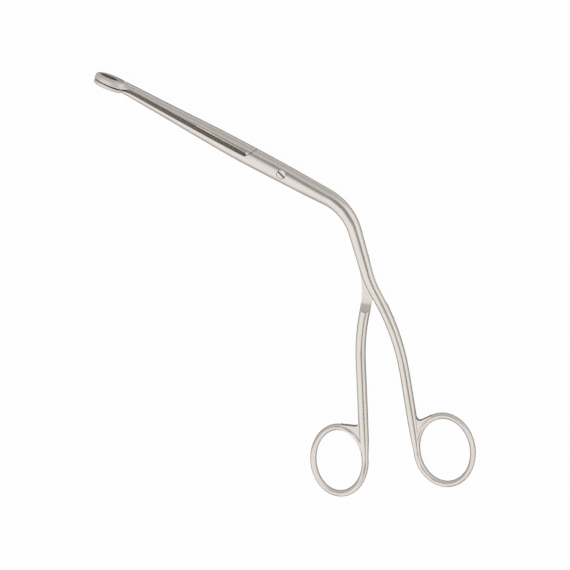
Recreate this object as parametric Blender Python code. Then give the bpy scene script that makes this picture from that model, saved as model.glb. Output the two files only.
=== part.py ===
"""Magill forceps: two crossed forged arms on a slotted pivot screw, shown closed and lying flat.

Millimetres until the end of each outline. X runs along the jaws towards the handles, Y across
them in the plane of motion, Z up along the pivot screw. Every outline is drawn with the pivot
at the origin, and the finished pieces are then moved so that the box's bottom centre is there.
"""
import math

import bmesh
import bpy
from mathutils import Vector

MM = 0.001

# Pivot and lap joint
PIECE_GAP = 0.3            # between the arms wherever they lie against each other
SHOULDER_X = -18.7         # inner end of the slot between the jaws
SHOULDER_SLOPE = 0.69      # how far the slanted shoulder runs along X for each millimetre in Y
SLOT_END_RADIUS = 0.8
LAP_RAMP_RADIUS = 7.0      # each arm's lap face ends in a hollow ramp milled to this radius
RAMP_OVERLAP = 0.3         # the ramp starts this far before the end of the lap face
RAMP_STEPS = 10
RAMP_STEP_ANGLE = 8.0
SLOT_END_SHARE = 0.35      # the rounded end has a middle station at this share of its radius
SLOT_LIFT = (0.12, 0.45)   # rise of the rounded end at its last two stations, as shares of its radius
SCREW_SHANK_RADIUS = 1.5
SCREW_HEAD_RADIUS = 2.05
SCREW_HEAD_HEIGHT = 1.0
SCREW_HEAD_SINK = 0.45     # head top below the crown of the joint
SCREW_TAIL_SINK = 0.15     # tail end inside the crown of the joint's underside
SCREW_SLOT_WIDTH = 0.7
SCREW_SLOT_DEPTH = 0.5
SCREW_SLOT_ANGLE = -18.5
RUNNING_CLEARANCE = 0.05   # radial, screw shank in the turning arm
FIXED_CLEARANCE = 0.02     # radial, screw shank in the arm that holds it
HEAD_CLEARANCE = 0.12      # radial and below the head
ROUND_POINTS = 32
CUT_REACH = 12.0           # cutters run this far past the middle of the metal
LAP_CUT_WIDTH = 20.0       # to each side of the shank, at the end of the lap

# Body of both arms, seen as one closed shape from the tip to the crossing
NECK_X = -81.9
BEND_START_X = 23.0
BEND_RADIUS = 26.0
BEND_ANGLE = 47.8
SECTION_POWER = 2.35       # 2 is an ellipse, more is squarer
SECTION_POINTS = 24
JAW_EDGE_SHARE = 0.985     # the jaw's flat face ends at this share of the section's height
JAW_EDGE_RUNOUT = 1.4      # the cutter's step past the rounded edge, along Y
JAW_EDGE_LIFT = 0.35       # and above it

# Tip loops
LOOP_HALF_WIDTH = 4.4
LOOP_EDGE_RADIUS = 1.0
LOOP_GRIP_CHAMFER = 0.15
LOOP_POWER = 2.15
LOOP_POINTS = 34
CONTACT_SLOPE = 0.085      # the loops meet on a plane tilted to the jaws
CONTACT_ZERO_X = -84.2
LOOP_TAPER = 0.03          # loop thickness lost for each millimetre away from the tip
FRONT_ROUNDING = 1.6       # how much longer the edge rounding runs at the tip than at the sides
WINDOW_START_X = -94.9
WINDOW_END_X = -86.5
WINDOW_HALF_WIDTH = 2.35
WINDOW_CHAMFER = 0.3
WINDOW_POINTS = 26
TOOTH_PITCH = 0.78
TOOTH_DEPTH = 0.3
TOOTH_START_X = -95.6
TOOTH_FULL_X = -90.0       # from here to the neck the teeth run out at the loop's sides
TOOTH_COUNT = 16
TOOTH_WIDTH = 0.9          # share of the pitch that each groove takes at the surface
TOOTH_LIFT = 0.02          # the cutters start this far above the gripping face
TOOTH_INSET = 0.6          # grooves near the tip end this far inside the loop's edge

# Finger rings
RING_WIRE_HALF_HEIGHT = 1.65
RING_BLEND_LENGTH = 12.0   # the shank narrows to the ring's wire over this length
INSIDE_WIRE = 0.93         # share of the wire's size that the shank's end keeps inside it
RING_STEPS = 48
RING_WIRE_POINTS = 12
WIRE_POWER = 2.2
HOLE_CLEANING = 0.35       # the ring's hole is cut clean this far inside its wire
WEB_FILLET_RADIUS = 1.6
WEB_FILLET_STEPS = 6
WEB_HALF_HEIGHT = 1.35
WEB_SINK = 0.12            # the web's edge starts and ends this far inside the metal
WEB_ROOT = 2.0             # how far it reaches past the shank's end
OUTLINE_SAMPLES = 360

# Values along the body: distance along the centreline from the pivot, then the size there.
# The roof share is how much of the height is lost evenly from the ridge to the sides.
CENTRE_OFFSET = ((-85.2, 0.55), (-83.2, 1.05), (-80.0, 1.18), (-60.0, 0.83), (-36.0, 0.46), (-20.0, 0.2),
                 (0.0, 0.1), (18.0, -0.1), (34.0, 0.0))
HALF_WIDTH = ((-85.2, 2.15), (-83.2, 2.7), (-80.0, 2.78), (-60.0, 3.33), (-36.0, 4.28), (-20.0, 4.65),
              (0.0, 4.5), (18.0, 4.15), (34.0, 3.5), (47.0, 3.1), (62.0, 2.85), (76.0, 2.5), (90.0, 2.35),
              (110.0, 2.25), (130.0, 2.25))
HALF_HEIGHT = ((-85.2, 2.0), (-83.2, 2.25), (-80.0, 2.4), (-60.0, 2.88), (-36.0, 3.03), (-20.0, 3.05),
               (0.0, 3.0), (23.0, 2.9), (47.0, 2.6), (76.0, 2.4), (100.0, 2.3))
ROOF_SHARE = ((-30.0, 0.0), (-14.0, 0.1), (-4.0, 0.1), (6.0, 0.19), (12.0, 0.24), (24.0, 0.27),
              (34.0, 0.07), (46.0, 0.0))
LOWER_INNER_FACE = ((-84.0, -0.14), (-82.6, -0.05), (-79.0, 0.6), (-70.0, 0.5), (-56.0, 0.2),
                    (-40.0, -0.22), (-28.0, -0.33), (-18.5, -0.35))
JAW_SLOT = ((-84.0, 0.3), (-82.6, 0.45), (-80.6, 1.15), (-70.0, 1.52), (-50.0, 1.7), (-34.0, 1.72),
            (-18.5, 1.5))

# Finish
STEEL_ROUGHNESS = 0.3
SCREW_COLOUR = (0.66, 0.65, 0.63, 1.0)
SHARP_ANGLE = 32.0

# One set of values for each arm; side is +1 where the arm keeps the top half of the lap joint
FRONT_ARM = {
    "name": "front_arm",
    "side": 1,
    "corner_radius": 0.35,
    "crossing_length": 19.5,
    "first_radius": 49.9,
    "first_turn": 14.1,
    "second_radius": 109.1,
    "second_turn": -20.8,
    "lap_end": 80.0,
    "tip_x": -96.3,
    "loop_thickness": 1.9,
    "wire_half_width": 1.43,
    "wire_swell": 0.15,
    "web_length": 14.8,
    "ring_centre": (125.9, -82.3),
    "ring_hole": (15.04, 11.62),
    "ring_angle": -56.1,
    "ring_side": 1,
    "colour": (0.62, 0.61, 0.59, 1.0),
}
BACK_ARM = {
    "name": "back_arm",
    "side": -1,
    "corner_radius": 0.5,
    "crossing_length": 14.4,
    "first_radius": 49.8,
    "first_turn": -27.5,
    "second_radius": 101.7,
    "second_turn": 14.1,
    "lap_end": 78.5,
    "tip_x": -96.75,
    "loop_thickness": 2.95,
    "wire_half_width": 1.45,
    "wire_swell": 0.08,
    "web_length": 16.4,
    "ring_centre": (84.9, -110.8),
    "ring_hole": (14.6, 10.65),
    "ring_angle": -61.1,
    "ring_side": -1,
    "colour": (0.58, 0.57, 0.55, 1.0),
}


def smooth_value(table, where):
    """Value of a table of (place, value) pairs at a place, eased between the pairs."""
    if where <= table[0][0]:
        return table[0][1]
    for index in range(len(table) - 1):
        left, right = table[index], table[index + 1]
        if where <= right[0]:
            span = right[0] - left[0]
            before = table[index - 1] if index else left
            after = table[index + 2] if index + 2 < len(table) else right
            start_slope = (right[1] - before[1]) / (right[0] - before[0])
            end_slope = (after[1] - left[1]) / (after[0] - left[0])
            t = (where - left[0]) / span
            bend = t * t * (3.0 - 2.0 * t)
            rise = t * (1.0 - t) ** 2 * start_slope * span
            fall = t * t * (t - 1.0) * end_slope * span
            return left[1] + bend * (right[1] - left[1]) + rise + fall
    return table[-1][1]


def closed_mesh(name, rings):
    """Solid through a row of point rings with equal counts, with a flat cap at each end."""
    mesh = bpy.data.meshes.new(name)
    bm = bmesh.new()
    rows = [[bm.verts.new(Vector(point) * MM) for point in ring] for ring in rings]
    count = len(rows[0])
    for near, far in zip(rows, rows[1:]):
        for k in range(count):
            bm.faces.new((near[k], near[(k + 1) % count], far[(k + 1) % count], far[k]))
    bm.faces.new(rows[0])
    bm.faces.new(rows[-1])
    bmesh.ops.recalc_face_normals(bm, faces=bm.faces)
    bm.to_mesh(mesh)
    bm.free()
    solid = bpy.data.objects.new(name, mesh)
    bpy.context.collection.objects.link(solid)
    return solid


def ring_mesh(name, rings):
    """Solid through a closed loop of point rings."""
    mesh = bpy.data.meshes.new(name)
    bm = bmesh.new()
    rows = [[bm.verts.new(Vector(point) * MM) for point in ring] for ring in rings]
    count = len(rows[0])
    for near, far in zip(rows, rows[1:] + rows[:1]):
        for k in range(count):
            bm.faces.new((near[k], near[(k + 1) % count], far[(k + 1) % count], far[k]))
    bmesh.ops.recalc_face_normals(bm, faces=bm.faces)
    bm.to_mesh(mesh)
    bm.free()
    solid = bpy.data.objects.new(name, mesh)
    bpy.context.collection.objects.link(solid)
    return solid


def prism(name, outline, low, high):
    """Upright solid on a plan outline of (x, y) points."""
    return closed_mesh(name, [[(x, y, z) for x, y in outline] for z in (low, high)])


def combine(target, tool, operation):
    """Join or cut target with tool and remove the tool."""
    modifier = target.modifiers.new(operation.lower(), "BOOLEAN")
    modifier.operation = operation
    modifier.solver = "EXACT"
    modifier.object = tool
    bpy.context.view_layer.objects.active = target
    bpy.ops.object.modifier_apply(modifier=modifier.name)
    bpy.data.objects.remove(tool, do_unlink=True)


def superellipse(angle, half_width, half_height, power):
    c, s = math.cos(angle), math.sin(angle)
    across = math.copysign(abs(c) ** (2.0 / power), c) * half_width
    up = math.copysign(abs(s) ** (2.0 / power), s) * half_height
    return across, up


def walk(place, heading, radius, turn, steps):
    """Stations (x, y, heading in radians, distance) along an arc of a given turn in degrees."""
    x, y = place
    stations = []
    for k in range(1, steps + 1):
        part = math.radians(turn) * k / steps
        sign = math.copysign(1.0, turn)
        now = heading + part
        px = x + sign * radius * (math.sin(now) - math.sin(heading))
        py = y - sign * radius * (math.cos(now) - math.cos(heading))
        stations.append((px, py, now, abs(part) * radius))
    return stations


def centreline(arm):
    """Stations (x, y, heading, distance from the pivot) from the neck to the ring's side."""
    marks = [-85.2, -84.2, -83.2, -82.0, -80.0, -76.0, -70.0, -64.0, -58.0, -52.0, -46.0, -40.0, -34.0,
             -28.0, -24.0, -20.0, -16.0, -9.0, -3.6, 3.6, 9.0, 16.0, BEND_START_X]
    line = [(x, 0.0, 0.0, x) for x in marks]

    def add(stations):
        base = line[-1][3]
        line.extend((x, y, h, base + d) for x, y, h, d in stations)

    def straight(length, steps):
        x, y, h, base = line[-1]
        for k in range(1, steps + 1):
            d = length * k / steps
            line.append((x + d * math.cos(h), y + d * math.sin(h), h, base + d))

    add(walk(line[-1][:2], line[-1][2], BEND_RADIUS, -BEND_ANGLE, 9))
    straight(arm["crossing_length"], 3)
    add(walk(line[-1][:2], line[-1][2], arm["first_radius"], arm["first_turn"], 5))
    add(walk(line[-1][:2], line[-1][2], arm["second_radius"], arm["second_turn"], 6))
    x, y, h, base = line[-1]
    cx, cy = arm["ring_centre"]
    along = (cx - x) * math.cos(h) + (cy - y) * math.sin(h)
    straight(along, 5)
    return line


def line_station(line, distance):
    """Station of the centreline at a distance from the pivot, between the ones that it has."""
    for near, far in zip(line, line[1:]):
        if near[3] <= distance <= far[3]:
            t = (distance - near[3]) / (far[3] - near[3])
            return tuple(a + t * (b - a) for a, b in zip(near, far))
    return line[-1]


def body_rings(arm, line):
    """Section rings of the body; the shank narrows to the ring's wire where it meets the ring."""
    ex, ey, eh, end = line[-1]
    cx, cy = arm["ring_centre"]
    outward = (arm["ring_side"] * math.sin(eh), -arm["ring_side"] * math.cos(eh))
    from_centre = (ex - cx) * outward[0] + (ey - cy) * outward[1]
    reach = 0.0
    for k in range(OUTLINE_SAMPLES):
        angle = 2.0 * math.pi * k / OUTLINE_SAMPLES
        px, py = on_ellipse(arm, wire_half_width(arm, angle), angle)[0]
        reach = max(reach, (px - cx) * outward[0] + (py - cy) * outward[1])
    rings = []
    for x, y, h, d in line:
        offset = smooth_value(CENTRE_OFFSET, d)
        half_width = smooth_value(HALF_WIDTH, d)
        half_height = smooth_value(HALF_HEIGHT, d)
        roof = smooth_value(ROOF_SHARE, d)
        near_ring = min(1.0, max(0.0, 1.0 - (end - d) / RING_BLEND_LENGTH))
        near_ring = near_ring ** 2 * (3.0 - 2.0 * near_ring)
        wire = arm["wire_half_width"] + arm["wire_swell"]
        half_width += (wire * INSIDE_WIRE - half_width) * near_ring
        half_height += (RING_WIRE_HALF_HEIGHT * INSIDE_WIRE - half_height) * near_ring
        offset -= arm["ring_side"] * (reach - from_centre) * near_ring
        ring = []
        for k in range(SECTION_POINTS):
            across, up = superellipse(2.0 * math.pi * (k + 0.5) / SECTION_POINTS, half_width, half_height,
                                      SECTION_POWER)
            up *= 1.0 - roof * abs(across) / half_width
            across += offset
            ring.append((x - across * math.sin(h), y + across * math.cos(h), up))
        rings.append(ring)
    return rings


def inner_face(side, x):
    """Height in Y of an arm's jaw face at x."""
    low = smooth_value(LOWER_INNER_FACE, x)
    return low if side > 0 else low + smooth_value(JAW_SLOT, x)


def jaw_edge(radius, edge):
    """Half of the jaw cutter's section, from its far corner to the jaw's rounded edge, as (away, up)."""
    runout = -(radius + JAW_EDGE_RUNOUT)
    points = [(CUT_REACH, CUT_REACH), (runout, CUT_REACH), (runout, edge + radius + JAW_EDGE_LIFT)]
    for turn in (75.0, 50.0, 25.0, 0.0):
        a = math.radians(turn)
        points.append((-radius * (1.0 - math.cos(a)), edge + radius * math.sin(a)))
    return points


def jaw_cutter(arm):
    """Takes away the other jaw and the slot, as far as the slanted shoulder of this arm's lap plate."""
    side = arm["side"]
    radius = arm["corner_radius"]
    marks = [-90.0, -84.0, -83.0, -82.0, -81.0, -79.0, -76.0, -70.0, -62.0, -54.0, -46.0, -38.0, -30.0,
             -24.0]
    stations = [(x, 0.0, 0.0) for x in marks + [SHOULDER_X - SLOT_END_RADIUS]]
    stations.append((SHOULDER_X - SLOT_END_SHARE * SLOT_END_RADIUS, SLOT_LIFT[0] * SLOT_END_RADIUS, 0.0))
    stations.append((SHOULDER_X, SLOT_LIFT[1] * SLOT_END_RADIUS, SHOULDER_SLOPE))
    rings = []
    for x, lift, slope in stations:
        face = inner_face(side, x)
        upper = jaw_edge(radius, smooth_value(HALF_HEIGHT, x) * JAW_EDGE_SHARE - radius)
        lower = [(away, -up) for away, up in reversed(upper)]
        rings.append([(x + slope * (away + lift), face + side * (away + lift), up)
                      for away, up in upper + lower])
    return closed_mesh("jaw_cutter", rings)


def lap_cutter(arm, line):
    """Takes away the other arm's half of the lap, from the shoulder to this arm's hollow ramp."""
    side = arm["side"]
    base_x = SHOULDER_X - PIECE_GAP
    other = inner_face(-side, SHOULDER_X)
    x, y, h, d = line_station(line, arm["lap_end"] - RAMP_OVERLAP)
    out = (-side * LAP_CUT_WIDTH * math.sin(h), side * LAP_CUT_WIDTH * math.cos(h))
    far = (x + out[0], y + out[1])
    near = (x - out[0], y - out[1])
    foot_x = base_x + SHOULDER_SLOPE * (side * other + CUT_REACH)
    outline = [(base_x, side * CUT_REACH), (base_x, other), (foot_x, -side * CUT_REACH)]
    if side < 0:
        outline.append((near[0], CUT_REACH))
    outline += [near, far]
    if side > 0:
        outline.append((far[0], CUT_REACH))
    face = side * PIECE_GAP / 2
    low, high = (-CUT_REACH, face) if side > 0 else (face, CUT_REACH)
    return prism("lap_cutter", outline, low, high)


def ramp_cutter(arm, line):
    """Hollow ramp from the lap face up to the arm's full section."""
    side = arm["side"]
    face = side * PIECE_GAP / 2
    x, y, h, d = line_station(line, arm["lap_end"])
    first = math.asin(2.0 * RAMP_OVERLAP / LAP_RAMP_RADIUS)
    profile = []
    for k in range(RAMP_STEPS + 1):
        a = math.radians(RAMP_STEP_ANGLE) * k - first
        profile.append((LAP_RAMP_RADIUS * math.sin(a), face - side * LAP_RAMP_RADIUS * (1.0 - math.cos(a))))
    profile.append((profile[-1][0], -side * CUT_REACH))
    profile.append((profile[0][0], -side * CUT_REACH))
    c, s = math.cos(h), math.sin(h)
    rows = [[(x + along * c - across * s, y + along * s + across * c, up) for along, up in profile]
            for across in (-CUT_REACH, CUT_REACH)]
    return closed_mesh("ramp_cutter", rows)


def contact_height(side, x):
    return CONTACT_SLOPE * (x - CONTACT_ZERO_X) - side * PIECE_GAP / 2


def loop_outline(x_centre, half_length, half_width, count):
    points = []
    for k in range(count):
        a, z = superellipse(2.0 * math.pi * (k + 0.5) / count, half_length, half_width, LOOP_POWER)
        points.append((x_centre + a, z))
    return points


def tip_loop(arm):
    """Rounded oval plate that carries the jaw's gripping face."""
    side = arm["side"]
    centre = (arm["tip_x"] + NECK_X) / 2
    half_length = (NECK_X - arm["tip_x"]) / 2
    layers = [(0.0, LOOP_GRIP_CHAMFER), (LOOP_GRIP_CHAMFER / arm["loop_thickness"], 0.0)]
    radius = LOOP_EDGE_RADIUS
    for turn in (0.0, 22.5, 45.0, 67.5, 90.0):
        a = math.radians(turn)
        level = 1.0 - (1.0 - math.sin(a)) * radius / arm["loop_thickness"]
        layers.append((level, radius * (1.0 - math.cos(a))))
    rings = []
    for level, inset in layers:
        ring = []
        for x, z in loop_outline(centre, half_length - inset, LOOP_HALF_WIDTH - inset, LOOP_POINTS):
            thick = arm["loop_thickness"] - LOOP_TAPER * (x - centre) * side
            tipward = max(0.0, (centre - x) / half_length) ** 2
            x += inset * (FRONT_ROUNDING - 1.0) * tipward
            ring.append((x, contact_height(side, x) - side * level * thick, z))
        rings.append(ring)
    return closed_mesh("tip_loop", rings)


def window_cutter(arm):
    """Oval window through the loop, chamfered on the outside."""
    side = arm["side"]
    centre = (WINDOW_START_X + WINDOW_END_X) / 2
    half_length = (WINDOW_END_X - WINDOW_START_X) / 2
    thick = arm["loop_thickness"]
    above = 2.0 * WINDOW_CHAMFER
    layers = [(-thick, 0.0), (thick - WINDOW_CHAMFER, 0.0), (thick + above, WINDOW_CHAMFER + above)]
    rings = []
    for level, flare in layers:
        ring = []
        for x, z in loop_outline(centre, half_length + flare, WINDOW_HALF_WIDTH + flare, WINDOW_POINTS):
            ring.append((x, contact_height(side, x) - side * level, z))
        rings.append(ring)
    return closed_mesh("window_cutter", rings)


def tooth_cutters(arm):
    """Row of V grooves across the gripping face."""
    side = arm["side"]
    half_groove = TOOTH_WIDTH * TOOTH_PITCH / 2 * (1.0 + TOOTH_LIFT / TOOTH_DEPTH)
    section = ((-half_groove, -TOOTH_LIFT), (0.0, TOOTH_DEPTH), (half_groove, -TOOTH_LIFT))
    mesh = bpy.data.meshes.new("teeth")
    bm = bmesh.new()
    centre = (arm["tip_x"] + NECK_X) / 2
    half_length = (NECK_X - arm["tip_x"]) / 2
    for k in range(TOOTH_COUNT):
        x = TOOTH_START_X + k * TOOTH_PITCH
        half = LOOP_HALF_WIDTH + TOOTH_INSET
        if x < TOOTH_FULL_X:
            roundness = max(0.05, 1.0 - ((x - centre) / half_length) ** 2)
            half = (LOOP_HALF_WIDTH - TOOTH_INSET) * math.sqrt(roundness)
        rows = []
        for z in (-half, half):
            row = []
            for along, depth in section:
                place = (x + along, contact_height(side, x + along) - side * depth, z)
                row.append(bm.verts.new(Vector(place) * MM))
            rows.append(row)
        for j in range(3):
            bm.faces.new((rows[0][j], rows[0][(j + 1) % 3], rows[1][(j + 1) % 3], rows[1][j]))
        bm.faces.new(rows[0])
        bm.faces.new(rows[1])
    bmesh.ops.recalc_face_normals(bm, faces=bm.faces)
    bm.to_mesh(mesh)
    bm.free()
    comb = bpy.data.objects.new("teeth", mesh)
    bpy.context.collection.objects.link(comb)
    return comb


def on_ellipse(arm, grow, angle):
    """Point and outward direction on the ring's hole ellipse moved outwards by grow."""
    long_half, short_half = arm["ring_hole"]
    turn = math.radians(arm["ring_angle"])
    px, py = long_half * math.cos(angle), short_half * math.sin(angle)
    nx, ny = math.cos(angle) / long_half, math.sin(angle) / short_half
    size = math.hypot(nx, ny)
    nx, ny = nx / size, ny / size
    px, py = px + grow * nx, py + grow * ny
    c, s = math.cos(turn), math.sin(turn)
    cx, cy = arm["ring_centre"]
    return (cx + px * c - py * s, cy + px * s + py * c), (nx * c - ny * s, nx * s + ny * c)


def wire_half_width(arm, angle):
    """The ring's wire is thickest beside the shank and thinnest opposite."""
    return arm["wire_half_width"] - arm["ring_side"] * arm["wire_swell"] * math.sin(angle)


def finger_ring(arm):
    rings = []
    for k in range(RING_STEPS):
        angle = 2.0 * math.pi * k / RING_STEPS
        wire = wire_half_width(arm, angle)
        (x, y), (nx, ny) = on_ellipse(arm, wire, angle)
        ring = []
        for j in range(RING_WIRE_POINTS):
            turn = 2.0 * math.pi * (j + 0.5) / RING_WIRE_POINTS
            across, up = superellipse(turn, wire, RING_WIRE_HALF_HEIGHT, WIRE_POWER)
            ring.append((x + across * nx, y + across * ny, up))
        rings.append(ring)
    return ring_mesh("finger_ring", rings)


def ring_hole(arm):
    outline = [on_ellipse(arm, HOLE_CLEANING, 2.0 * math.pi * k / RING_STEPS)[0] for k in range(RING_STEPS)]
    return prism("ring_hole", outline, -CUT_REACH, CUT_REACH)


def ring_web(arm, line):
    """Flat web between the shank and the ring, with a small round where its edge meets the shank."""
    x, y, h, d = line_station(line, line[-1][3] - arm["web_length"])
    tx, ty = math.cos(h), math.sin(h)
    side = arm["ring_side"]
    nx, ny = -ty * side, tx * side
    half = smooth_value(HALF_WIDTH, d) - WEB_SINK
    corner = (x + half * nx, y + half * ny)
    outer = []
    for k in range(OUTLINE_SAMPLES):
        angle = 2.0 * math.pi * k / OUTLINE_SAMPLES
        outer.append(on_ellipse(arm, 2.0 * wire_half_width(arm, angle) - WEB_SINK, angle)[0])

    def swing(point):
        dx, dy = point[0] - corner[0], point[1] - corner[1]
        return math.atan2(dx * nx + dy * ny, dx * tx + dy * ty)

    touch = max(outer, key=swing)
    reach = math.hypot(touch[0] - corner[0], touch[1] - corner[1])
    ux, uy = (touch[0] - corner[0]) / reach, (touch[1] - corner[1]) / reach
    opening = math.acos(-(ux * tx + uy * ty))
    leg = WEB_FILLET_RADIUS / math.tan(opening / 2)
    middle = math.hypot(leg, WEB_FILLET_RADIUS)
    bx, by = ux - tx, uy - ty
    size = math.hypot(bx, by)
    fx, fy = corner[0] + middle * bx / size, corner[1] + middle * by / size
    start = math.atan2(corner[1] - leg * ty - fy, corner[0] - leg * tx - fx)
    finish = math.atan2(corner[1] + leg * uy - fy, corner[0] + leg * ux - fx)
    sweep = (finish - start + math.pi) % (2.0 * math.pi) - math.pi
    outline = []
    for k in range(WEB_FILLET_STEPS + 1):
        a = start + sweep * k / WEB_FILLET_STEPS
        outline.append((fx + WEB_FILLET_RADIUS * math.cos(a), fy + WEB_FILLET_RADIUS * math.sin(a)))
    cx, cy = arm["ring_centre"]
    inset = arm["wire_half_width"] / math.hypot(cx - touch[0], cy - touch[1])
    deep = (touch[0] + (cx - touch[0]) * inset, touch[1] + (cy - touch[1]) * inset)
    end = line[-1]
    base = (end[0] - WEB_ROOT * tx, end[1] - WEB_ROOT * ty)
    behind = (outline[0][0] - half * nx, outline[0][1] - half * ny)
    return prism("ring_web", outline + [touch, deep, base, behind], -WEB_HALF_HEIGHT, WEB_HALF_HEIGHT)


def turned(name, steps):
    """Solid of revolution about the pivot axis through (radius, height) steps."""
    rings = []
    angles = [2.0 * math.pi * k / ROUND_POINTS for k in range(ROUND_POINTS)]
    for radius, z in steps:
        rings.append([(radius * math.cos(a), radius * math.sin(a), z) for a in angles])
    return closed_mesh(name, rings)


def steel(name, colour):
    material = bpy.data.materials.new(name)
    material.use_nodes = True
    shader = material.node_tree.nodes["Principled BSDF"]
    shader.inputs["Base Color"].default_value = colour
    shader.inputs["Metallic"].default_value = 1.0
    shader.inputs["Roughness"].default_value = STEEL_ROUGHNESS
    return material


def finish_piece(piece, name, colour):
    piece.name = name
    piece.data.name = name
    piece.data.materials.clear()
    piece.data.materials.append(steel(name + "_steel", colour))
    for face in piece.data.polygons:
        face.use_smooth = True
        face.material_index = 0
    piece.data.set_sharp_from_angle(angle=math.radians(SHARP_ANGLE))


def forged_arm(arm):
    line = centreline(arm)
    body = closed_mesh(arm["name"], body_rings(arm, line))
    combine(body, jaw_cutter(arm), "DIFFERENCE")
    combine(body, lap_cutter(arm, line), "DIFFERENCE")
    combine(body, ramp_cutter(arm, line), "DIFFERENCE")
    combine(body, ring_web(arm, line), "UNION")
    combine(body, ring_hole(arm), "DIFFERENCE")
    combine(body, finger_ring(arm), "UNION")
    combine(body, tip_loop(arm), "UNION")
    combine(body, window_cutter(arm), "DIFFERENCE")
    combine(body, tooth_cutters(arm), "DIFFERENCE")
    if arm["side"] > 0:
        seat = smooth_value(HALF_HEIGHT, 0.0) - SCREW_HEAD_SINK - SCREW_HEAD_HEIGHT - HEAD_CLEARANCE
        bore = SCREW_SHANK_RADIUS + RUNNING_CLEARANCE
        head = SCREW_HEAD_RADIUS + HEAD_CLEARANCE
        steps = ((bore, -CUT_REACH), (bore, seat), (head, seat), (head, CUT_REACH))
    else:
        bore = SCREW_SHANK_RADIUS + FIXED_CLEARANCE
        steps = ((bore, -CUT_REACH), (bore, CUT_REACH))
    combine(body, turned("screw_bore", steps), "DIFFERENCE")
    finish_piece(body, arm["name"], arm["colour"])
    return body


def pivot_screw():
    crown = smooth_value(HALF_HEIGHT, 0.0)
    top = crown - SCREW_HEAD_SINK
    under_head = top - SCREW_HEAD_HEIGHT
    screw = turned("pivot_screw", ((SCREW_SHANK_RADIUS, -crown + SCREW_TAIL_SINK),
                                   (SCREW_SHANK_RADIUS, under_head),
                                   (SCREW_HEAD_RADIUS, under_head), (SCREW_HEAD_RADIUS, top)))
    a = math.radians(SCREW_SLOT_ANGLE)
    outline = []
    half_width = SCREW_SLOT_WIDTH / 2
    for along, across in ((-CUT_REACH, -half_width), (CUT_REACH, -half_width), (CUT_REACH, half_width),
                          (-CUT_REACH, half_width)):
        outline.append((along * math.cos(a) - across * math.sin(a),
                        along * math.sin(a) + across * math.cos(a)))
    combine(screw, prism("screw_slot", outline, top - SCREW_SLOT_DEPTH, CUT_REACH), "DIFFERENCE")
    finish_piece(screw, "pivot_screw", SCREW_COLOUR)
    return screw


def main():
    for old in list(bpy.data.objects):
        bpy.data.objects.remove(old, do_unlink=True)
    pieces = [forged_arm(FRONT_ARM), forged_arm(BACK_ARM), pivot_screw()]
    corners = [vertex.co for piece in pieces for vertex in piece.data.vertices]
    low = Vector([min(corner[axis] for corner in corners) for axis in range(3)])
    high = Vector([max(corner[axis] for corner in corners) for axis in range(3)])
    for piece in pieces:
        piece.location = Vector((-(low.x + high.x) / 2, -(low.y + high.y) / 2, -low.z))


main()
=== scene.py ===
import math

import bmesh
import bpy
from mathutils import Matrix, Vector
from mathutils.geometry import intersect_point_line


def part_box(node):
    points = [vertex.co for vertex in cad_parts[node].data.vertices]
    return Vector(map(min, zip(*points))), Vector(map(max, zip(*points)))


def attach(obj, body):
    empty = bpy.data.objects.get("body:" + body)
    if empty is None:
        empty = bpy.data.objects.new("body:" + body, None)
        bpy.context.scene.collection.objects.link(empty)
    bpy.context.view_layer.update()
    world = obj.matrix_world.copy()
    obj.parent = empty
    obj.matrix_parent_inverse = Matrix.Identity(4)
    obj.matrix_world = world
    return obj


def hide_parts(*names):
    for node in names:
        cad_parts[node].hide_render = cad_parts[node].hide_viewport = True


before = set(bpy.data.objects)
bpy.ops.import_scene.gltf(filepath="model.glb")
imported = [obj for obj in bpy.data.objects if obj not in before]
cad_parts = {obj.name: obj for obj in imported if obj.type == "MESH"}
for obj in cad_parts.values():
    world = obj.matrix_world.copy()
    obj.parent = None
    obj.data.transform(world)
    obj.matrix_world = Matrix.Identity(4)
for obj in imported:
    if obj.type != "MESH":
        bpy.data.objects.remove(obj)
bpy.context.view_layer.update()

MM = 0.001
PIVOT = sum(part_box("pivot_screw"), Vector()) / 2

# The view of the photograph, as directions in the frame
PICTURE_RIGHT = Vector((0.885, 0.4397, -0.1514)).normalized()
PICTURE_UP = Vector((-0.465, 0.8368, -0.2881)).normalized()
TOWARDS_CAMERA = PICTURE_RIGHT.cross(PICTURE_UP).normalized()
AIM_FROM_PIVOT = Vector((25.28, -47.48, 0.0)) * MM
CAMERA_DISTANCE = 12.0
CAMERA_REACH = 100.0
PICTURE_WIDTH = 262.4 * MM

# Places on the forceps. The jaws run from the pivot towards -X.
SCREW_SLOT_DEPTH = 0.5 * MM
SCREW_HEAD_RIM = 0.1 * MM          # outer ring of the head, which gets no painted shade
SCREW_HEAD_SKIN = 0.02 * MM        # the head's own face lies above this depth
WINDOW_MIDDLE = PIVOT + Vector((-90.7, 0.0, 0.15)) * MM
WINDOW_HALF_LENGTH = 4.2 * MM
WINDOW_HALF_WIDTH = 2.35 * MM
WINDOW_MARGIN = 1.05               # the window's walls lie inside an oval that is a little larger
WINDOW_WALL_LEAN = 0.5             # a window's wall faces the other jaw by less than this
NECK = -82.2 * MM                  # past it a jaw is a loop
CONTACT_SLOPE = 0.085              # the plane on which the two loops meet
CONTACT_START = -84.2 * MM
GRIP_DEPTH = 0.36 * MM             # of a gripping face's edge, from that plane
GRIP_EDGE_LEAN = 0.25              # the edge faces up or down by more than this
SHOULDER = (-24.0 * MM, -14.0 * MM)
SHOULDER_LEAN = 0.6                # a shoulder faces along the jaws by more than this

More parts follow.
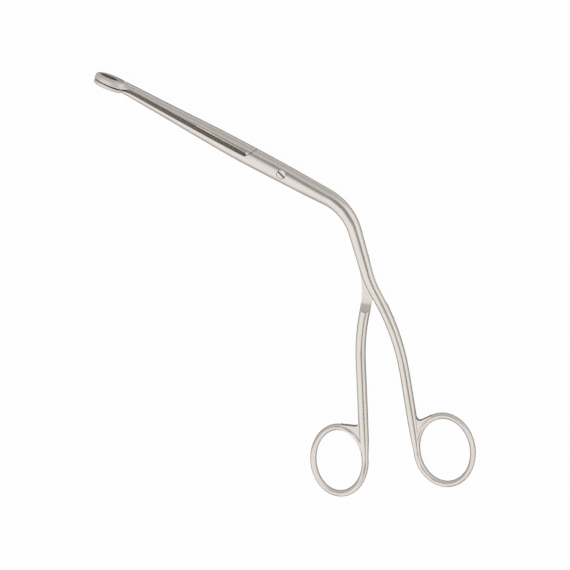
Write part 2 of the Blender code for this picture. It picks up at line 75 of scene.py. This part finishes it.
# Light tent: white, with a grey side, less light low down beyond the picture's top and bottom, and a
# dark opening that runs from the camera towards the picture's bottom. A pair is where a change begins
# and where it ends, as the cosine between a direction and an axis.
TENT_WHITE = 1.0
TENT_GREY = 0.54
GREY_SIDE = math.radians(107)      # from the picture's right-hand side towards its top
GREY_EDGE = (0.05, 0.25)
OPENING_DEPTH = 0.78               # share of the light that the opening takes away
OPENING_SLANT = 0.3
OPENING_SIDES = (0.13, 0.32)
OPENING_TOP = (0.0, 0.2)
OPENING_FOOT = (-0.85, -0.62)
OPENING_FRONT = (0.0, 0.2)
HORIZON_DEPTH = 0.7                # share of the light that is missing low down
HORIZON_TOP = (0.0, 0.4)
HORIZON_ENDS = (0.3, 0.9)          # of the cosine's square

# Floor of white paper
FLOOR_SIZE = 40.0
FLOOR_DROP = 0.02 * MM
PAPER_WHITE = 0.86
FLOOR_GLOW = 0.97                  # how far the floor's white is its own, seen by the camera
FLOOR_GLOW_IN_STEEL = 0.18         # and seen in the steel

# Steel
STEEL_COLOUR = (0.80, 0.746, 0.690)
STEEL_ROUGHNESS = 0.26
STEEL_EDGE_TINT = 0.0              # the shine doesn't whiten where the steel turns away
TIP_MATTNESS = 0.20                # added to the roughness at the loops
TIP_REACH = (-1.5 * MM, 2.5 * MM)  # the loops' matt finish fades out here, from the neck
PAINTED_SHADE_COLOUR = (0.30, 0.28, 0.26)   # painted shade: a dark steel colour in the screw's slot, the windows and the seams, where shade falls
PAINTED_SHADE_ROUGHNESS = 0.5
CLOUDS = {"Scale": 160.0, "Detail": 3.0, "Roughness": 0.5}
CLOUD_TONES = (0.965, 1.03)        # shares of the colour between which the polish varies
CLOUD_ROUGHNESS = 0.06             # how far the roughness varies with them
GRAIN = {"Scale": 2600.0, "Detail": 2.0, "Roughness": 0.6}
GRAIN_SHIFT = 5.0                  # sets the grain apart from the clouds
GRAIN_STRENGTH = 0.10
GRAIN_DEPTH = 0.02 * MM
EDGE_SOFTNESS = 0.14 * MM
EDGE_SAMPLES = 6

# Smoothing
WELD_GAP = 0.002 * MM
SAME_PLANE = math.radians(0.3)
SMOOTH_ANGLE = math.radians(32)
CREASE_ANGLE = math.radians(12)    # a hollow corner is a crease from here
FLAT_ANGLE = math.radians(1)       # faces are one flat up to here
ACROSS = -0.5                      # cosine from which two bends lie on opposite sides of a place


class Wire:
    """A node socket that can be written in sums and products."""

    def __init__(self, nodes, socket):
        self.nodes = nodes
        self.socket = socket

    def _maths(self, operation, first, second):
        node = self.nodes.add("ShaderNodeMath", {"operation": operation})
        self.nodes.join(first, node.inputs[0])
        self.nodes.join(second, node.inputs[1])
        return self.nodes.out(node)

    def __add__(self, other):
        return self._maths("ADD", self, other)

    __radd__ = __add__

    def __mul__(self, other):
        return self._maths("MULTIPLY", self, other)

    __rmul__ = __mul__

    def __sub__(self, other):
        return self._maths("SUBTRACT", self, other)

    def __rsub__(self, other):
        return self._maths("SUBTRACT", other, self)

    def step(self, low, high):
        """0 below low, 1 above high, and a smooth rise between them."""
        node = self.nodes.add("ShaderNodeMapRange", {"interpolation_type": "SMOOTHSTEP"},
                              Value=self, From_Min=low, From_Max=high)
        return self.nodes.out(node, "Result")


class Nodes:
    """The node tree of a material or a world."""

    def __init__(self, tree):
        self.tree = tree
        tree.nodes.clear()

    def join(self, source, socket):
        """Link a wire to a socket, or set the socket's value."""
        if isinstance(source, Wire):
            self.tree.links.new(source.socket, socket)
        else:
            socket.default_value = source

    def add(self, kind, settings=None, **values):
        """A node of a kind, with its settings and then its sockets' values or links."""
        node = self.tree.nodes.new(kind)
        for name, value in (settings or {}).items():
            setattr(node, name, value)
        for name, value in values.items():
            self.join(value, node.inputs[name.replace("_", " ")])
        return node

    def out(self, node, name=0):
        return Wire(self, node.outputs[name])

    def toward(self, direction, axis):
        """How far a direction points along an axis, from -1 to 1."""
        node = self.add("ShaderNodeVectorMath", {"operation": "DOT_PRODUCT"})
        self.join(direction, node.inputs[0])
        node.inputs[1].default_value = axis
        return self.out(node, "Value")


def new_material(name):
    material = bpy.data.materials.new(name)
    material.use_nodes = True
    return material, Nodes(material.node_tree)


def satin_steel(name, grain_seed, colour=STEEL_COLOUR, roughness=STEEL_ROUGHNESS):
    """Warm grey stainless steel with a fine satin grain."""
    material, nodes = new_material(name)
    place = nodes.out(nodes.add("ShaderNodeTexCoord"), "Object")
    cloudy = nodes.out(nodes.add(
        "ShaderNodeTexNoise", {"noise_dimensions": "4D"},
        Vector=place, W=grain_seed, **CLOUDS))
    fine = nodes.out(nodes.add(
        "ShaderNodeTexNoise", {"noise_dimensions": "4D"},
        Vector=place, W=grain_seed + GRAIN_SHIFT, **GRAIN))
    from_pivot = nodes.out(nodes.add("ShaderNodeSeparateXYZ", Vector=place), "X") - PIVOT.x
    at_tip = 1.0 - from_pivot.step(NECK + TIP_REACH[0], NECK + TIP_REACH[1])
    tone = nodes.add("ShaderNodeMix", {"data_type": "RGBA"})
    nodes.join(cloudy, tone.inputs[0])
    for socket, share in zip(tone.inputs[6:8], CLOUD_TONES):
        socket.default_value = (*[channel * share for channel in colour], 1.0)
    rounded = nodes.add("ShaderNodeBevel", {"samples": EDGE_SAMPLES}, Radius=EDGE_SOFTNESS)
    grain = nodes.add("ShaderNodeBump", Strength=GRAIN_STRENGTH, Distance=GRAIN_DEPTH,
                      Height=fine, Normal=nodes.out(rounded))
    surface = nodes.add(
        "ShaderNodeBsdfPrincipled",
        Base_Color=nodes.out(tone, 2), Metallic=1.0,
        Roughness=roughness - CLOUD_ROUGHNESS / 2 + CLOUD_ROUGHNESS * cloudy + TIP_MATTNESS * at_tip,
        Specular_Tint=(STEEL_EDGE_TINT, STEEL_EDGE_TINT, STEEL_EDGE_TINT, 1.0),
        Normal=nodes.out(grain))
    end = nodes.add("ShaderNodeOutputMaterial")
    nodes.join(nodes.out(surface), end.inputs["Surface"])
    return material


def floor_paper():
    """Pale paper that reads as white and keeps a faint shadow."""
    material, nodes = new_material("floor_paper")
    light_path = nodes.add("ShaderNodeLightPath")
    in_steel = nodes.out(light_path, "Is Glossy Ray") + nodes.out(light_path, "Is Transmission Ray")
    seen = nodes.out(light_path, "Is Camera Ray") * FLOOR_GLOW + in_steel * FLOOR_GLOW_IN_STEEL
    paper = nodes.add("ShaderNodeBsdfDiffuse", Color=(PAPER_WHITE, PAPER_WHITE, PAPER_WHITE, 1.0))
    white = nodes.add("ShaderNodeEmission", Color=(1.0, 1.0, 1.0, 1.0), Strength=1.0)
    blend = nodes.add("ShaderNodeMixShader")
    nodes.join(seen, blend.inputs[0])
    nodes.join(nodes.out(paper), blend.inputs[1])
    nodes.join(nodes.out(white), blend.inputs[2])
    end = nodes.add("ShaderNodeOutputMaterial")
    nodes.join(nodes.out(blend), end.inputs["Surface"])
    return material


def light_tent():
    """White all round but for its grey side, its dark opening and its horizon."""
    world = bpy.data.worlds.new("light_tent")
    bpy.context.scene.world = world
    world.use_nodes = True
    nodes = Nodes(world.node_tree)
    direction = nodes.out(nodes.add("ShaderNodeTexCoord"), "Generated")
    grey_side = PICTURE_RIGHT * math.cos(GREY_SIDE) + PICTURE_UP * math.sin(GREY_SIDE)
    greyness = nodes.toward(direction, grey_side).step(*GREY_EDGE)
    along = nodes.toward(direction, PICTURE_UP)
    sideways = nodes.toward(direction, PICTURE_RIGHT) + along * OPENING_SLANT
    in_width = 1.0 - (sideways * sideways).step(OPENING_SIDES[0] ** 2, OPENING_SIDES[1] ** 2)
    in_length = (1.0 - along.step(*OPENING_TOP)) * along.step(*OPENING_FOOT)
    opening = in_width * in_length * nodes.toward(direction, TOWARDS_CAMERA).step(*OPENING_FRONT)
    low = 1.0 - nodes.toward(direction, Vector((0.0, 0.0, 1.0))).step(*HORIZON_TOP)
    low = low * (along * along).step(*HORIZON_ENDS)
    level = TENT_WHITE - (TENT_WHITE - TENT_GREY) * greyness
    level = level * (1.0 - OPENING_DEPTH * opening) * (1.0 - HORIZON_DEPTH * low)
    light_path = nodes.add("ShaderNodeLightPath")
    camera = nodes.out(light_path, "Is Camera Ray")
    level = level + camera * (1.0 - level)
    tent = nodes.add("ShaderNodeBackground", Color=(1.0, 1.0, 1.0, 1.0), Strength=level)
    end = nodes.add("ShaderNodeOutputWorld")
    nodes.join(nodes.out(tent), end.inputs["Surface"])


def lay_floor():
    bpy.ops.mesh.primitive_plane_add(size=FLOOR_SIZE, location=(0.0, 0.0, -FLOOR_DROP))
    floor = bpy.context.object
    floor.name = "floor"
    floor.data.materials.append(floor_paper())


def place_camera():
    data = bpy.data.cameras.new("camera")
    camera = bpy.data.objects.new("camera", data)
    bpy.context.scene.collection.objects.link(camera)
    aim = PIVOT.copy()
    aim.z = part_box("front_arm")[1].z / 2
    aim = aim + AIM_FROM_PIVOT
    turn = Matrix((PICTURE_RIGHT, PICTURE_UP, TOWARDS_CAMERA)).transposed()
    camera.matrix_world = Matrix.Translation(aim + TOWARDS_CAMERA * CAMERA_DISTANCE) @ turn.to_4x4()
    data.angle = 2 * math.atan(PICTURE_WIDTH / 2 / CAMERA_DISTANCE)
    data.clip_end = CAMERA_REACH
    bpy.context.scene.camera = camera


def mark_creases(bm):
    """Sharp where the metal has an edge, and sooner in a hollow corner."""
    for edge in bm.edges:
        bend = edge.calc_face_angle_signed(math.pi)
        edge.smooth = -CREASE_ANGLE < bend < SMOOTH_ANGLE


def bends(edge):
    """Whether two facets of one curve meet at an edge."""
    return edge.smooth and abs(edge.calc_face_angle_signed(0.0)) > FLAT_ANGLE


def fan(loop):
    """Faces round a loop's corner that no crease parts from its own."""
    faces = [loop.face]
    for face in faces:
        for edge in face.edges:
            if loop.vert in edge.verts and edge.smooth:
                faces += [other for other in edge.link_faces if other not in faces]
    return faces


def flat_region(face, regions):
    """Faces that lie in one flat with a face."""
    if face not in regions:
        region = [face]
        for near in region:
            for edge in near.edges:
                if edge.smooth and not bends(edge):
                    region += [other for other in edge.link_faces if other not in region]
        for near in region:
            regions[near] = region
    return regions[face]


def between_bends(place, face, region):
    """Normal at a place inside a flat strip, eased between the bends on its two sides."""
    sides = []
    for near in region:
        for edge in near.edges:
            if bends(edge):
                start, end = [vert.co for vert in edge.verts]
                share = intersect_point_line(place, start, end)[1]
                way = start.lerp(end, min(1.0, max(0.0, share))) - place
                normal = sum((other.normal for other in edge.link_faces), Vector()).normalized()
                sides.append((way.length, way, normal))
    sides.sort(key=lambda side: side[0])
    for far, far_way, far_normal in sides[1:]:
        near, near_way, near_normal = sides[0]
        if near_way.dot(far_way) < ACROSS * near * far:
            return near_normal.lerp(far_normal, near / (near + far)).normalized()
    return face.normal.copy()


def curved_normals(mesh):
    """Normals that follow the curve across the facets, also beside a cut."""
    bm = bmesh.new()
    bm.from_mesh(mesh)
    bm.normal_update()
    mark_creases(bm)
    regions = {}
    normals = []
    for face in bm.faces:
        for loop in face.loops:
            planes = []
            for near in fan(loop):
                if all(near.normal.angle(other) > FLAT_ANGLE for other in planes):
                    planes.append(near.normal)
            if len(planes) == 1:
                normals.append(between_bends(loop.vert.co, face, flat_region(face, regions)))
            else:
                normals.append(sum(planes, Vector()).normalized())
    bm.to_mesh(mesh)
    bm.free()
    mesh.normals_split_custom_set(normals)


def paint_shade_on_faces(piece, material, chosen):
    """Paint shade on the chosen faces of a piece, as a second, darker and rougher steel material."""
    piece.data.materials.append(material)
    for face in piece.data.polygons:
        if chosen(face):
            face.material_index = 1


def in_screw_slot(face):
    """The slot's floor and walls, and nothing of the head's own faces: where shade is painted on the
    screw.
    """
    low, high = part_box("pivot_screw")
    from_pivot = face.center - PIVOT
    inside = math.hypot(from_pivot.x, from_pivot.y) < (high.x - low.x) / 2 - SCREW_HEAD_RIM
    return inside and SCREW_HEAD_SKIN < high.z - face.center.z < SCREW_SLOT_DEPTH + SCREW_HEAD_SKIN


def in_grip(face):
    """Window walls, the edges of the gripping faces and the shoulders beside the lap: where shade is
    painted on the arms.
    """
    from_pivot = face.center - PIVOT
    if from_pivot.x < NECK:
        from_window = face.center - WINDOW_MIDDLE
        oval = (from_window.x / WINDOW_HALF_LENGTH) ** 2 + (from_window.z / WINDOW_HALF_WIDTH) ** 2
        wall = oval < WINDOW_MARGIN and abs(face.normal.y) < WINDOW_WALL_LEAN
        off_contact = abs(from_pivot.y - CONTACT_SLOPE * (from_pivot.x - CONTACT_START))
        edge = off_contact < GRIP_DEPTH and abs(face.normal.z) > GRIP_EDGE_LEAN
        return wall or edge
    return SHOULDER[0] < from_pivot.x < SHOULDER[1] and abs(face.normal.x) > SHOULDER_LEAN


def dressed_copy(node, name, body, material):
    """A welded copy of a forged piece, smooth between its real edges."""
    bpy.ops.object.select_all(action="DESELECT")
    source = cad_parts[node]
    piece = bpy.data.objects.new(name, source.data.copy())
    bpy.context.scene.collection.objects.link(piece)
    piece.data.name = name
    bpy.context.view_layer.objects.active = piece
    piece.select_set(True)
    bpy.ops.object.mode_set(mode="EDIT")
    bpy.ops.mesh.select_all(action="SELECT")
    bpy.ops.mesh.remove_doubles(threshold=WELD_GAP)
    bpy.ops.mesh.dissolve_limited(angle_limit=SAME_PLANE)
    bpy.ops.object.mode_set(mode="OBJECT")
    bpy.ops.object.shade_smooth()
    curved_normals(piece.data)
    piece.data.materials.clear()
    piece.data.materials.append(material)
    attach(piece, body)
    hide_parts(node)
    return piece


bpy.context.scene.view_settings.view_transform = "Standard"
place_camera()
light_tent()
lay_floor()
front_arm = dressed_copy("front_arm", "front_arm_forging", "front_half",
                         satin_steel("front_arm_steel", grain_seed=0.0))
back_arm = dressed_copy("back_arm", "back_arm_forging", "back_half",
                        satin_steel("back_arm_steel", grain_seed=1.7))
screw = dressed_copy("pivot_screw", "pivot_screw_turned", "back_half",
                     satin_steel("screw_steel", grain_seed=3.1))
# Painted shade: a darker, rougher steel on the screw's slot, the window walls, the gripping faces'
# edges and the shoulders, where shade falls between the parts.
painted_shade = satin_steel("painted_shade_steel", 4.3, PAINTED_SHADE_COLOUR, PAINTED_SHADE_ROUGHNESS)
paint_shade_on_faces(front_arm, painted_shade, in_grip)
paint_shade_on_faces(back_arm, painted_shade, in_grip)
paint_shade_on_faces(screw, painted_shade, in_screw_slot)
